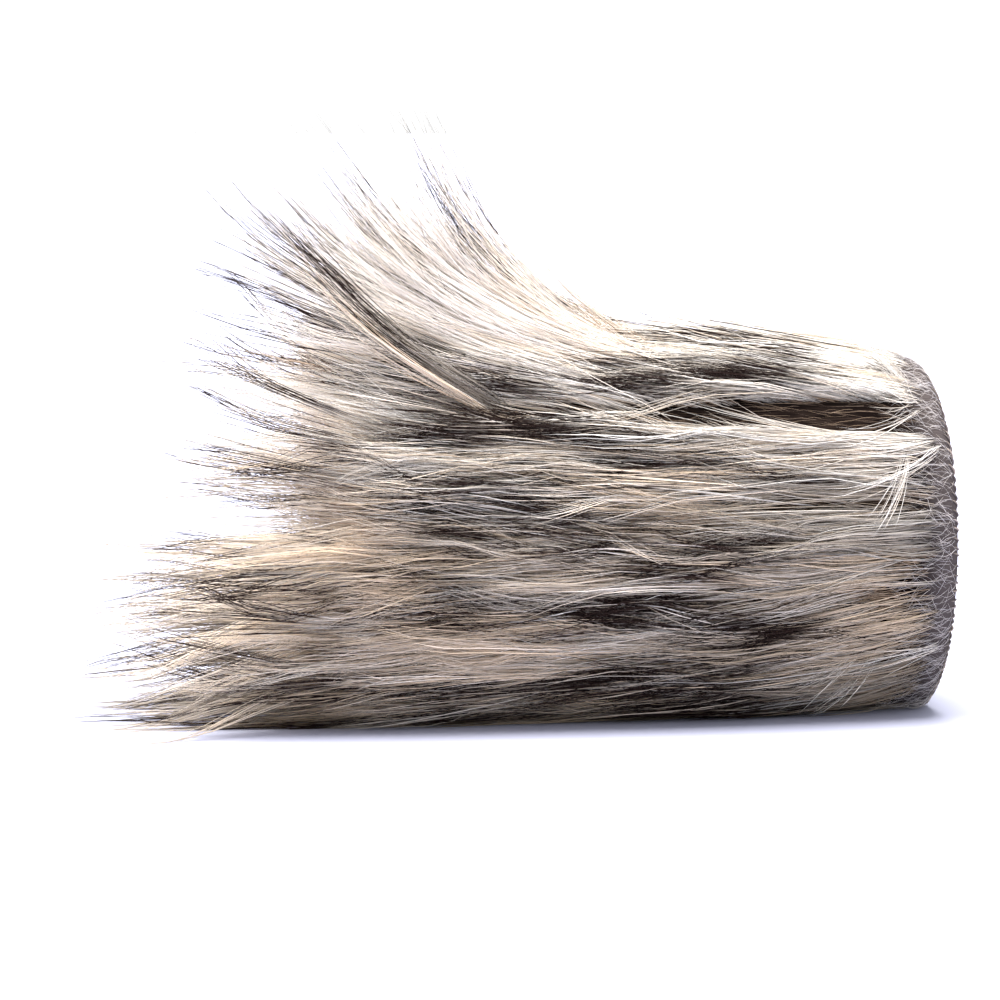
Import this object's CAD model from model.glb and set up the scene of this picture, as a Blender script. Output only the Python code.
# %% [markdown]
# # A furry windscreen
# A furry windscreen is a foam core that a microphone pushes into, and a sewn cover of long-pile
# fabric over it. The CAD frame already holds the boot, the base plate, the foam and the cloth.
# This lesson makes what the CAD leaves plain: the pile, hair by hair, and the finish of every part.

# %% Load the frame
import math

import bmesh
import bpy
import numpy as np
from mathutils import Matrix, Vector


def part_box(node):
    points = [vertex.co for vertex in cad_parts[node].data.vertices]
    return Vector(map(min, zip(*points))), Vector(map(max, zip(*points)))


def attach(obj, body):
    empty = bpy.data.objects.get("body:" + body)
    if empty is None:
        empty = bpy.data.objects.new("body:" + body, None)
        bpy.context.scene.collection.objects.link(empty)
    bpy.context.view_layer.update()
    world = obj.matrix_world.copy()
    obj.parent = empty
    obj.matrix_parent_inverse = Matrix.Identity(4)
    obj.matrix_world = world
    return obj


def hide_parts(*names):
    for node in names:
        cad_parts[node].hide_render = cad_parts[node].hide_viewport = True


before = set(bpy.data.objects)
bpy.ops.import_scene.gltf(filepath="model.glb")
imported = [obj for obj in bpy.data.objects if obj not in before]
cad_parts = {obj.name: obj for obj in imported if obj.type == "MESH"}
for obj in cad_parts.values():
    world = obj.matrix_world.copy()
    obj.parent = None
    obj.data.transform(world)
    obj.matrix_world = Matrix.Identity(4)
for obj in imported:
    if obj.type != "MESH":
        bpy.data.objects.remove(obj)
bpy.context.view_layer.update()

# %% [markdown]
# ## Sizes
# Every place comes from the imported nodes, so a change in the CAD carries the hair with it. Hair is
# easier to think about in millimetres, so the pile is worked out in millimetres and turned into
# metres when a mesh is made.

# %% Read the sleeve's sizes
MM = 0.001
backing_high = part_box("side_backing")[1]
HEM = backing_high[0] / MM
SKIN_R = backing_high[1] / MM
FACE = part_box("nose_backing")[0][0] / MM
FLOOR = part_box("side_pile")[0][2] / MM
PILE_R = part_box("side_pile")[1][1] / MM
print(f"sleeve x {HEM:.1f} to {FACE:.1f}, skin radius {SKIN_R:.1f}, pile {PILE_R:.1f}, floor {FLOOR:.1f} mm")

# %% [markdown]
# ## Camera, light and floor
# The object lies on a plain white sweep. The camera stands 1.1 metres away and looks at the sleeve's
# side from a little towards the nose, so the hem's circle is almost edge-on. A wide softbox hangs
# nearly overhead, as a sun with a broad disc, so the top is bright and the shadow stays close under
# the pile. A strong, slightly blue world fills the near side. The lens sees a brighter, plain one.

# %% Camera
camera_data = bpy.data.cameras.new("camera")
camera = bpy.data.objects.new("camera", camera_data)
bpy.context.scene.collection.objects.link(camera)
VIEW_TURN = math.radians(-9.5)
VIEW_RISE = math.radians(5.0)
VIEW_DISTANCE = 1.1
view_target = Vector((-0.1115, 0.0, 0.0105))
view_from = view_target + VIEW_DISTANCE * Vector((
    math.sin(VIEW_TURN) * math.cos(VIEW_RISE),
    -math.cos(VIEW_TURN) * math.cos(VIEW_RISE),
    math.sin(VIEW_RISE),
))
camera.location = view_from
camera.rotation_euler = (view_target - view_from).to_track_quat("-Z", "Y").to_euler()
SENSOR_WIDTH = 36.0
VIEW_WIDTH = 0.252
camera_data.sensor_width = SENSOR_WIDTH
camera_data.lens = SENSOR_WIDTH * VIEW_DISTANCE / VIEW_WIDTH
camera_data.clip_start = 0.01
bpy.context.scene.camera = camera

# %% World
world = bpy.data.worlds.new("studio")
bpy.context.scene.world = world
world.use_nodes = True
world_tree = world.node_tree
fill = world_tree.nodes["Background"]
fill.inputs["Color"].default_value = (0.92, 0.94, 1.0, 1.0)
fill.inputs["Strength"].default_value = 1.1
sweep = world_tree.nodes.new("ShaderNodeBackground")
sweep.inputs["Strength"].default_value = 1.35
path = world_tree.nodes.new("ShaderNodeLightPath")
either = world_tree.nodes.new("ShaderNodeMixShader")
world_tree.links.new(path.outputs["Is Camera Ray"], either.inputs[0])
world_tree.links.new(fill.outputs[0], either.inputs[1])
world_tree.links.new(sweep.outputs[0], either.inputs[2])
world_tree.links.new(either.outputs[0], world_tree.nodes["World Output"].inputs["Surface"])

# %% Softbox
softbox_data = bpy.data.lights.new("softbox", "SUN")
softbox_data.energy = 11.0
softbox_data.angle = math.radians(55)
softbox_data.color = (1.0, 0.985, 0.97)
softbox = bpy.data.objects.new("softbox", softbox_data)
softbox.rotation_euler = Vector((-0.15, 0.10, 1.0)).to_track_quat("Z", "Y").to_euler()
bpy.context.scene.collection.objects.link(softbox)
bpy.context.scene.view_settings.view_transform = "Standard"

# %% Floor
floor_mesh = bpy.data.meshes.new("floor")
FLOOR_HALF = 40.0
corners = [(FLOOR_HALF * x, FLOOR_HALF * y, FLOOR * MM) for x, y in ((-1, -1), (1, -1), (1, 1), (-1, 1))]
floor_mesh.from_pydata(corners, [], [(0, 1, 2, 3)])
floor = bpy.data.objects.new("floor", floor_mesh)
bpy.context.scene.collection.objects.link(floor)
floor_paint = bpy.data.materials.new("floor_paint")
floor_paint.use_nodes = True
floor_shader = floor_paint.node_tree.nodes["Principled BSDF"]
floor_shader.inputs["Base Color"].default_value = (0.43, 0.44, 0.55, 1.0)
floor_shader.inputs["Roughness"].default_value = 0.8
floor_mesh.materials.append(floor_paint)

# %% [markdown]
# ## The bed of the pile
# Close to the knitted backing, hair stands too densely to see single strands. That felt-like bed is
# one closed surface: a lengthwise profile turned about the bore's axis. It wraps over the hem's edge
# in a round roll and closes in front of the nose panel. Where the sleeve lies on the floor it is
# pressed flat.

# %% Bed surface
BED_HEM = 5.2
BED_FULL = 6.6
BED_ROLL = 4.2
BED_SLOPE = 26.0
BED_GROWS = 40.0
ROOT_DEPTH = 1.0
SIDE_FREE, SIDE_EASE = 54.0, 10.0
TOP_FREE, TOP_EASE = 97.0, 14.0


def bed_radius(x):
    """The bed's radius at x: the skin plus a depth that grows from the hem over BED_GROWS. At the hem it
    falls off in a quarter round, as 1 - sqrt(1 - t^2), and over BED_SLOPE before the nose panel it
    thins in the same way, down to a tenth."""
    x = np.clip(x, FACE, HEM)
    depth = BED_HEM + (BED_FULL - BED_HEM) * np.clip((HEM - x) / BED_GROWS, 0.0, 1.0)
    near_hem = np.clip(1.0 - (HEM - x) / BED_ROLL, 0.0, 1.0)
    near_face = 0.9 * np.clip(1.0 - (x - FACE) / BED_SLOPE, 0.0, 1.0)
    return SKIN_R + depth * np.sqrt(1.0 - near_face**2) - BED_ROLL * (1.0 - np.sqrt(1.0 - near_hem**2))


def around(x, turn, radius):
    """The point at x and radius, turn radians round from -Y towards +Z. Arrays in, (..., 3) out."""
    x, turn, radius = np.broadcast_arrays(x, turn, radius)
    return np.stack([x, -radius * np.cos(turn), radius * np.sin(turn)], axis=-1)


def rest_on_floor(points, softness):
    """Lifts points smoothly above the floor: z becomes floor + w ln(1 + e^((z - floor) / w))."""
    over = (points[..., 2] - FLOOR) / softness
    points[..., 2] = FLOOR + softness * np.logaddexp(0.0, over)
    return points


def hold_back(values, start, room):
    """Eases values over start so that none passes start + room: start + room tanh((v - start) / room)."""
    return np.where(values > start, start + room * np.tanh((values - start) / room), values)


def keep_in(points):
    """Keeps flying hair within a brushed coat's bounds: 64 mm to each side and 111 mm up."""
    points[..., 1] = np.sign(points[..., 1]) * hold_back(np.abs(points[..., 1]), SIDE_FREE, SIDE_EASE)
    points[..., 2] = hold_back(points[..., 2], TOP_FREE, TOP_EASE)
    return points


def add_piece(name, mesh, material, body="fur_cover"):
    """Shades a mesh smooth, gives it its material and makes it a piece that rides on a body."""
    mesh.shade_smooth()
    mesh.materials.append(material)
    piece = bpy.data.objects.new(name, mesh)
    bpy.context.scene.collection.objects.link(piece)
    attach(piece, body)
    return piece


def mesh_piece(name, points, faces, material, body="fur_cover"):
    """A piece from points in millimetres and faces."""
    mesh = bpy.data.meshes.new(name)
    mesh.from_pydata((points * MM).tolist(), [], faces)
    return add_piece(name, mesh, material, body)


# %% [markdown]
# ## Colour of the hair
# The pile imitates a wild coat. Each fibre is grey-brown at its root, cream or tan along its middle
# and nearly black at its tip, and neighbours differ. The hair's map holds this in two numbers: U runs
# from root to tip, and V picks one of 256 rows. A row is a mix of warmth, darkness of the tip and
# lightness, so the colour depends on the map alone.

# %% Node helpers
WARM_STEPS, TIP_STEPS, LIGHT_STEPS = 4, 8, 8
ROWS = WARM_STEPS * TIP_STEPS * LIGHT_STEPS


def new_material(name, roughness=0.5):
    """A material, its node tree and its shader."""
    material = bpy.data.materials.new(name)
    material.use_nodes = True
    shader = material.node_tree.nodes["Principled BSDF"]
    shader.inputs["Roughness"].default_value = roughness
    return material, material.node_tree, shader


def texture_node(tree, kind, vector, **settings):
    """A texture or Mapping node on a vector, with settings for its own sockets."""
    node = tree.nodes.new("ShaderNode" + kind)
    for name, value in settings.items():
        node.inputs[name].default_value = value
    tree.links.new(vector, node.inputs["Vector"])
    return node.outputs


def object_place(tree):
    """Object coordinates."""
    return tree.nodes.new("ShaderNodeTexCoord").outputs["Object"]


def add_bump(tree, shader, height, distance, strength=1.0):
    """A Bump node from a height to the shader's normal. distance is in metres."""
    bump = tree.nodes.new("ShaderNodeBump")
    bump.inputs["Distance"].default_value = distance
    bump.inputs["Strength"].default_value = strength
    tree.links.new(height, bump.inputs["Height"])
    tree.links.new(bump.outputs["Normal"], shader.inputs["Normal"])


def math_node(tree, operation, a, b=None, c=None, clamp=False):
    """A Math node. a, b and c are sockets or numbers."""
    node = tree.nodes.new("ShaderNodeMath")
    node.operation = operation
    node.use_clamp = clamp
    for socket, value in zip(node.inputs, (a, b, c)):
        if value is None:
            continue
        if isinstance(value, (int, float)):
            socket.default_value = value
        else:
            tree.links.new(value, socket)
    return node.outputs[0]


def mix_colours(tree, factor, a, b, blend="MIX"):
    """A colour Mix node. factor, a and b are sockets or constants."""
    node = tree.nodes.new("ShaderNodeMix")
    node.data_type = "RGBA"
    node.blend_type = blend
    for socket, value in ((node.inputs["Factor"], factor), (node.inputs[6], a), (node.inputs[7], b)):
        if isinstance(value, bpy.types.NodeSocket):
            tree.links.new(value, socket)
        else:
            socket.default_value = value
    return node.outputs[2]


def ramp_between(tree, value, low, high):
    """0 below low, 1 above high and a smooth step between them."""
    node = tree.nodes.new("ShaderNodeMapRange")
    node.interpolation_type = "SMOOTHSTEP"
    for name, number in (("From Min", low), ("From Max", high)):
        if isinstance(number, bpy.types.NodeSocket):
            tree.links.new(number, node.inputs[name])
        else:
            node.inputs[name].default_value = number
    tree.links.new(value, node.inputs["Value"])
    return node.outputs["Result"]


# %% Hair tone group
def hair_tone_group():
    """Reads a row's warmth, tip and lightness from V, and paints root, middle and tip along U."""
    group = bpy.data.node_groups.new("hair_tone", "ShaderNodeTree")
    face = group.interface
    for name, kind in (("U", "Float"), ("V", "Float"), ("Root", "Color"), ("Cool middle", "Color"),
                       ("Warm middle", "Color"), ("Tip", "Color"), ("Tip starts", "Float")):
        face.new_socket(name, in_out="INPUT", socket_type="NodeSocket" + kind)
    face.new_socket("Color", in_out="OUTPUT", socket_type="NodeSocketColor")
    given = group.nodes.new("NodeGroupInput").outputs
    row = math_node(group, "FLOOR", math_node(group, "MULTIPLY", given["V"], float(ROWS)))
    warm = math_node(group, "DIVIDE", math_node(group, "MODULO", row, WARM_STEPS), WARM_STEPS - 1.0)
    tip_row = math_node(group, "FLOOR", math_node(group, "DIVIDE", row, WARM_STEPS))
    tip = math_node(group, "DIVIDE", math_node(group, "MODULO", tip_row, TIP_STEPS), TIP_STEPS - 1.0)
    light_row = math_node(group, "FLOOR", math_node(group, "DIVIDE", row, WARM_STEPS * TIP_STEPS))
    light = math_node(group, "DIVIDE", light_row, LIGHT_STEPS - 1.0)
    middle = mix_colours(group, warm, given["Cool middle"], given["Warm middle"])
    shade = math_node(group, "MULTIPLY_ADD", light, 0.70, 0.30)
    shaded = mix_colours(group, 1.0, middle, shade, "MULTIPLY")
    from_root = ramp_between(group, given["U"], 0.02, 0.26)
    lower = mix_colours(group, from_root, given["Root"], shaded)
    by_row = math_node(group, "FRACT", math_node(group, "MULTIPLY", row, 0.37))
    later = math_node(group, "MULTIPLY", by_row, 0.18)
    tip_begins = math_node(group, "ADD", given["Tip starts"], later)
    tip_ends = math_node(group, "ADD", tip_begins, 0.20)
    to_tip = ramp_between(group, given["U"], tip_begins, tip_ends)
    amount = math_node(group, "MULTIPLY", to_tip, ramp_between(group, tip, 0.15, 0.72))
    whole = mix_colours(group, amount, lower, given["Tip"])
    out = group.nodes.new("NodeGroupOutput")
    group.links.new(whole, out.inputs["Color"])
    return group


HAIR_TONE = hair_tone_group()

# %% Hair materials
def hair_material(name, root, cool, warm, tip, tip_starts, roughness):
    """A fibre's finish: the tone group on the hair's own map, and a soft shine."""
    material, tree, shader = new_material(name, roughness)
    shader.inputs["Specular IOR Level"].default_value = 0.08
    hair_map = tree.nodes.new("ShaderNodeUVMap")
    hair_map.uv_map = "OFBake"
    parts = tree.nodes.new("ShaderNodeSeparateXYZ")
    tree.links.new(hair_map.outputs["UV"], parts.inputs[0])
    tone = tree.nodes.new("ShaderNodeGroup")
    tone.node_tree = HAIR_TONE
    tree.links.new(parts.outputs["X"], tone.inputs["U"])
    tree.links.new(parts.outputs["Y"], tone.inputs["V"])
    for socket, colour in (("Root", root), ("Cool middle", cool), ("Warm middle", warm), ("Tip", tip)):
        tone.inputs[socket].default_value = (*colour, 1.0)
    tone.inputs["Tip starts"].default_value = tip_starts
    tree.links.new(tone.outputs["Color"], shader.inputs["Base Color"])
    return material


GUARD_HAIR = hair_material(
    "guard_hair", root=(0.022, 0.015, 0.013), cool=(0.99, 0.94, 0.87), warm=(0.86, 0.68, 0.49),
    tip=(0.018, 0.009, 0.007), tip_starts=0.36, roughness=0.38,
)
UNDER_HAIR = hair_material(
    "under_hair", root=(0.010, 0.007, 0.006), cool=(0.30, 0.22, 0.165), warm=(0.66, 0.48, 0.32),
    tip=(0.008, 0.005, 0.004), tip_starts=0.62, roughness=0.5,
)
CREST_HAIR = hair_material(
    "crest_hair", root=(0.16, 0.12, 0.10), cool=(0.86, 0.80, 0.75), warm=(0.90, 0.76, 0.60),
    tip=(0.014, 0.007, 0.006), tip_starts=0.50, roughness=0.38,
)

# %% Bed material
def bed_material():
    """Dense short fibre: noise stretched along the sleeve in dark brown, with bump. It is tan near the
    nose panel and greyed where it rolls over the hem."""
    material, tree, shader = new_material("pile_bed", 0.9)
    shader.inputs["Specular IOR Level"].default_value = 0.0
    place = object_place(tree)
    stretched = texture_node(tree, "Mapping", place, Scale=(140.0, 1500.0, 1500.0))["Vector"]
    fibre = texture_node(tree, "TexNoise", stretched, Scale=1.0, Detail=5.0)["Fac"]
    patches = texture_node(tree, "TexNoise", place, Scale=45.0)["Fac"]
    streak = ramp_between(tree, fibre, 0.35, 0.68)
    dark = mix_colours(tree, patches, (0.003, 0.002, 0.002, 1.0), (0.009, 0.006, 0.005, 1.0))
    fibres = mix_colours(tree, streak, dark, (0.022, 0.015, 0.012, 1.0))
    across = tree.nodes.new("ShaderNodeSeparateXYZ")
    tree.links.new(place, across.inputs[0])
    behind = ramp_between(tree, across.outputs["X"], FACE * MM, (FACE + 45.0) * MM)
    at_hem = ramp_between(tree, across.outputs["X"], (HEM - 13.0) * MM, (HEM - 3.0) * MM)
    greyed = mix_colours(tree, at_hem, fibres, (0.078, 0.065, 0.062, 1.0))
    colour = mix_colours(tree, behind, (0.36, 0.28, 0.21, 1.0), greyed)
    tree.links.new(colour, shader.inputs["Base Color"])
    add_bump(tree, shader, fibre, 0.0006, 0.7)
    return material


PILE_BED = bed_material()

# %% Make the bed
def ring_quads(bands, rows, columns):
    """Quads between rings of points, each joined to the next ring: corner (r, c) has the number
    r columns + c. With as many bands as rows, the last ring is joined to the first."""
    r, c = np.indices((bands, columns))
    after, side = (r + 1) % rows, (c + 1) % columns
    quads = [r * columns + c, r * columns + side, after * columns + side, after * columns + c]
    return np.stack(quads, -1).reshape(-1, 4)


def make_bed():
    """Turns the profile hem roll, top line, nose roll, then the inner wall back, about the axis."""
    ends = np.sin(np.linspace(0.0, math.pi / 2, 9)) * BED_ROLL
    along = np.concatenate([HEM - BED_ROLL + ends[::-1], np.linspace(HEM - 6, FACE, 70)])
    outer = np.stack([along, bed_radius(along)], -1)
    front_r = SKIN_R * np.cos(np.linspace(0.15, math.pi / 2 - 0.004, 12))
    front = np.stack([FACE - 3.5 * np.sqrt(1 - (front_r / SKIN_R) ** 2), front_r], -1)
    inner = np.array([[FACE - 0.2, 0.15], [FACE - 0.2, SKIN_R + 0.1], [HEM, SKIN_R + 0.1]])
    profile = np.concatenate([outer, front, inner])
    columns = 144
    turn = np.linspace(0, 2 * math.pi, columns, endpoint=False)
    points = around(profile[:, :1], turn[None, :], profile[:, 1:])
    points = rest_on_floor(points, 0.4).reshape(-1, 3)
    faces = ring_quads(len(profile), len(profile), columns).tolist()
    piece = mesh_piece("pile_bed", points, faces, PILE_BED)
    print("bed:", len(points), "points")
    return piece


bed = make_bed()
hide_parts("side_pile")

# %% [markdown]
# ## One strand, many strands
# A fibre is a thin tapered tube. Three sides are enough at this thickness, and with a closed root and
# a pointed tip each strand is a closed surface. All strands of a piece are made at once, as arrays.

# %% Strands to mesh
def strand_mesh(name, paths, width, row, material):
    """Tubes round paths, an array of (strands, points, 3) in millimetres. At share s of its length a
    strand's radius is width/2 times (1 - s^9)(0.8 + 0.8 s(1 - s)), and three points of a ring
    stand at 0, 120 and 240 degrees round the tangent."""
    count, points = paths.shape[:2]
    rings = points - 1
    s = np.linspace(0.0, 1.0, points)[None, :rings, None]
    tangent = np.gradient(paths, axis=1)[:, :rings]
    tangent /= np.linalg.norm(tangent, axis=2, keepdims=True) + 1e-9
    spread = np.random.default_rng(len(name) * 7 + count).normal(size=(count, 1, 3))
    side = np.cross(tangent, spread)
    side /= np.linalg.norm(side, axis=2, keepdims=True) + 1e-9
    other = np.cross(tangent, side)
    radius = 0.5 * width[:, None, None] * (1 - s**9) * (0.8 + 0.8 * s * (1 - s))
    corner = np.arange(3) * 2 * math.pi / 3
    ring = (side[:, :, None] * np.cos(corner)[:, None] + other[:, :, None] * np.sin(corner)[:, None])
    tube = paths[:, :rings, None] + radius[..., None] * ring
    verts = np.concatenate([tube.reshape(count, rings * 3, 3), paths[:, -1:]], axis=1)
    per = rings * 3 + 1
    k, j = np.indices((rings - 1, 3))
    quads = ring_quads(rings - 1, rings, 3)
    last = (rings - 1) * 3
    tips = np.array([[last, last + 1, per - 1], [last + 1, last + 2, per - 1], [last + 2, last, per - 1]])
    root = np.array([[2, 1, 0]])
    corners = np.concatenate([quads.ravel(), tips.ravel(), root.ravel()])
    sizes = np.concatenate([np.full(len(quads), 4), np.full(4, 3)])
    loops = (corners[None, :] + per * np.arange(count)[:, None]).ravel()
    totals = np.tile(sizes, count)
    starts = np.concatenate([[0], np.cumsum(totals)[:-1]])
    # the map: U along the strand, V inside the strand's row
    quad_u = np.stack([k, k, k + 1, k + 1], -1).reshape(-1, 4) / rings
    quad_v = np.stack([j, j + 1, j + 1, j], -1).reshape(-1, 4) / 3.0
    tip_u = np.tile([(rings - 1) / rings, (rings - 1) / rings, 1.0], (3, 1))
    tip_v = np.array([[0, 1, 0.5], [1, 2, 1.5], [2, 3, 2.5]]) / 3.0
    u = np.concatenate([quad_u.ravel(), tip_u.ravel(), [0.0, 0.02, 0.0]])
    v = np.concatenate([quad_v.ravel(), tip_v.ravel(), [0.0, 0.5, 1.0]])
    flat_u = np.tile(0.004 + 0.992 * u, count)
    flat_v = ((row[:, None] + 0.2 + 0.6 * v[None, :]) / ROWS).ravel()
    mesh = bpy.data.meshes.new(name)
    mesh.vertices.add(count * per)
    mesh.vertices.foreach_set("co", (verts.reshape(-1) * MM).astype(np.float32))
    mesh.loops.add(len(loops))
    mesh.loops.foreach_set("vertex_index", loops.astype(np.int32))
    mesh.polygons.add(len(totals))
    mesh.polygons.foreach_set("loop_start", starts.astype(np.int32))
    mesh.update(calc_edges=True)
    hair_map = mesh.uv_layers.new(name="OFBake")
    hair_map.data.foreach_set("uv", np.stack([flat_u, flat_v], -1).ravel().astype(np.float32))
    add_piece(name, mesh, material)
    triangles = count * (6 * (rings - 1) + 4)
    print(f"{name}: {count} strands, {triangles} triangles")
    return triangles


# %% [markdown]
# ## How the pile lies
# The fabric's nap runs from the hem to the nose. A hair leaves the backing steeply, bends over within
# a few millimetres and then follows the nap, with a slow wave. Hairs gather in locks: each lock has
# one path, its hairs start round the lock's root and close in on that path towards their tips.

# %% Smooth variation over the sleeve
def drift(x, turn, seed, grain):
    """A smooth field of about -1 to 1 over the sleeve: a sum of five waves in x and whole numbers of
    waves round the sleeve, so that it closes on itself."""
    draw = np.random.default_rng(seed)
    total = np.zeros(np.broadcast(x, turn).shape)
    for _ in range(5):
        along = draw.uniform(0.4, 1.6) * 2 * math.pi / grain
        waves = draw.integers(1, max(2, int(2 * math.pi * SKIN_R / grain * 1.5)))
        total += np.sin(along * x + waves * turn + draw.uniform(0, 2 * math.pi))
    return total / 2.6


# %% Paths of hairs
WAVE_LENGTH = 42.0


def hair_paths(points, x, turn, length, height, heading, bend, rise, wave, phase, arch, bow):
    """Where hairs run. All arguments but points and bow are arrays of one value per hair. At distance
    u from the root, which is share s of the length, the radius has grown by height times
    0.4 (1 - e^(-u/bow)) + 0.6 s, so tips lie on top, like the ends of roof tiles. x has moved by u
    less the part spent on rising, and the hair has gone sideways by heading u + bend u^2 plus its
    wave. rise lifts the tip by that much, as s to the power arch."""
    s = np.linspace(0.0, 1.0, points)[None, :] ** 1.15
    col = lambda value: np.asarray(value)[:, None]
    u = col(length) * s
    grown = 1.0 - np.exp(-u / bow)
    radius = bed_radius(col(x)) - ROOT_DEPTH + col(height) * (0.4 * grown + 0.6 * s)
    waving = col(wave) * np.sin(2 * math.pi * (u / WAVE_LENGTH + col(phase))) * s
    side = col(heading) * u + col(bend) * u**2 + waving
    run = u - 0.45 * bow * grown - (col(rise) / col(length)) ** 2 * u * s * 0.5
    path = around(col(x) - run, col(turn) + side / np.maximum(radius, 20.0), radius)
    path[..., 2] += col(rise) * s ** col(arch)
    return path


def gather(paths, roots, lock_roots, clump, fray, draw):
    """Moves each hair from its lock's path to its own root. The offset fades with clump times s^1.2,
    and fray spreads the tips again by a few tenths of a millimetre."""
    s = np.linspace(0.0, 1.0, paths.shape[1])[None, :, None]
    offset = (roots - lock_roots)[:, None]
    spread = draw.normal(size=(len(paths), 1, 3)) * fray * s**1.5
    return paths + offset * (1 - clump * s**1.2) + spread


# %% Rise of the tufts
CREST_TURN = math.radians(84)
TUFT_HEIGHT = 63.0
UPPER_HEIGHT = 9.0


def ease(value, low, high):
    """0 below low, 1 above high, 3t^2 - 2t^3 between."""
    t = np.clip((value - low) / (high - low), 0.0, 1.0)
    return t * t * (3 - 2 * t)


def tuft_rise(x, turn):
    """How far a hair's tip stands up: TUFT_HEIGHT e^(-(angle from the crest / 27 degrees)^2). It sets
    in 46 to 66 mm from the hem and drops to half from 92 to 116 mm. Nearer the nose, the rest of
    the upper half rises by up to UPPER_HEIGHT."""
    from_top = np.abs(np.angle(np.exp(1j * (turn - CREST_TURN))))
    across = np.exp(-((from_top / math.radians(27)) ** 2))
    behind = ease(HEM - x, 46, 66)
    before = 1 - 0.5 * ease(HEM - x, 92, 116)
    upper = np.clip(np.sin(turn), 0, 1) * ease(HEM - x, 90, 135)
    return TUFT_HEIGHT * across * behind * before + UPPER_HEIGHT * upper * (1 - across)


# %% [markdown]
# ## Bundles
# Brushed pile doesn't lie evenly: neighbouring locks lean together into bundles a finger wide, pale
# ones beside dark-tipped ones, with the dark roots showing between. The sleeve is divided into cells
# staggered along its length. Each cell pulls its locks' tips towards its own middle and gives them a
# shared tone.

# %% Bundles
BUNDLES_ROUND, BUNDLE_LENGTH = 32, 18.0
BUNDLE_ROWS = 16
BUNDLE_CHANCE = np.random.default_rng(88).uniform(size=(4, BUNDLE_ROWS, BUNDLES_ROUND))


def bundle(x, turn):
    """The cell of each lock: how far in radians its middle is from the lock, and two chances of 0 to
    1 that its locks share, for the tip and for the lightness."""
    step = 2 * math.pi / BUNDLES_ROUND
    column = np.floor(np.mod(turn, 2 * math.pi) / step).astype(int) % BUNDLES_ROUND
    row = np.floor((HEM - x) / BUNDLE_LENGTH + BUNDLE_CHANCE[0, 0, column]).astype(int) % BUNDLE_ROWS
    middle = (column + 0.5 + 0.5 * (BUNDLE_CHANCE[1, row, column] - 0.5)) * step
    off = np.angle(np.exp(1j * (middle - turn)))
    return off, BUNDLE_CHANCE[2, row, column], BUNDLE_CHANCE[3, row, column]


# %% [markdown]
# ## Guard hair and under hair
# A wild coat has two kinds of hair. Guard hairs are long, stiff and dark at the tip. Under hairs are
# half as long, finer and duller, and fill the space below. Both are sown in locks over the sleeve,
# thinly along the seam, where the pile parts.

# %% Where locks grow
seam_low, seam_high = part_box("side_seam_thread")
SEAM_TURN = math.atan2(seam_low[2] + seam_high[2], -(seam_low[1] + seam_high[1]))


def tone_rows(draw, warm, tip, light):
    """Picks each hair's row of the map from three shares of 0 to 1, each rounded at random."""
    steps = []
    for value, count in ((warm, WARM_STEPS), (tip, TIP_STEPS), (light, LIGHT_STEPS)):
        exact = np.clip(value, 0, 1) * (count - 1)
        steps.append(np.floor(exact + draw.uniform(size=len(exact))).astype(int))
    warm_step, tip_step, light_step = steps
    return warm_step + WARM_STEPS * (tip_step + TIP_STEPS * light_step)


def part_at_seam(x, turn):
    """Pushes roots off the seam line, and says which way their hair leans: 1 up, -1 down, and 0
    away from the seam."""
    off = np.angle(np.exp(1j * (turn - SEAM_TURN)))
    near = np.exp(-((off / math.radians(12)) ** 2)) * ease(x, HEM - 108, HEM - 88)
    half = math.radians(2.4) + math.radians(4.8) * ease(x, HEM - 88, HEM - 15)
    way = np.sign(off)
    moved = turn + way * near * np.maximum(half - np.abs(off), 0)
    return moved, way * near


PIECE_TRIANGLES = 190000


def make_strands(name, paths, width, rows, order, kind):
    """Splits sorted strands into pieces of no more than PIECE_TRIANGLES each."""
    total = len(paths)
    parts = math.ceil(total * (6 * (kind["points"] - 2) + 4) / PIECE_TRIANGLES)
    made = 0
    for number, chosen in enumerate(np.array_split(np.argsort(order, kind="stable"), parts), start=1):
        piece_name = f"{name}_{number}"
        made += strand_mesh(piece_name, paths[chosen], width[chosen], rows[chosen], kind["material"])
    return made


def lock_tones(kind, x, turn, draw):
    """Warmth, darkness of the tip and lightness for locks at (x, turn). Warmth grows towards the nose
    and in patches. About half the locks have nearly black tips, by bundles, and the rest pale ones.
    kind["paler"] makes fewer of them dark, kind["pale"] takes the darkness off the crest's near
    side, and the top near the hem is paler too."""
    locks = len(x)
    _, shared_tip, shared_light = bundle(x, turn)
    front = ease(HEM - x, 60, 135)
    upper = np.clip(np.sin(turn), 0, 1)
    warm = 0.66 + 0.16 * front - 0.65 * upper + 0.28 * drift(x, turn, 21, 45.0)
    warm = warm + 0.20 * draw.normal(size=locks)
    light = 0.37 + 0.66 * shared_light + 0.12 * drift(x, turn, 33, 24.0) + 0.10 * draw.normal(size=locks)
    pale_top = 0.24 * ease(upper, 0.70, 0.95) * (1 - ease(HEM - x, 62, 92))
    chance = shared_tip + 0.10 * front - pale_top - kind["paler"] + 0.10 * draw.normal(size=locks)
    dark = ease(chance, 0.38, 0.52)
    light += 0.12 * front - 0.34 * (1 - ease(HEM - x, 10, 60)) * (1 - upper)
    light += 0.30 * ease(upper, 0.6, 0.95) - 0.75 * ease(-np.sin(turn), 0.62, 0.95)
    dark *= 1 - kind["pale"] * (1 - ease(turn, CREST_TURN - 0.1, CREST_TURN + 0.12))
    tip = np.minimum(kind["tip"] * (0.05 + 0.95 * dark), 1.0)
    return dict(warm=warm, tip=tip, light=light)


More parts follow.
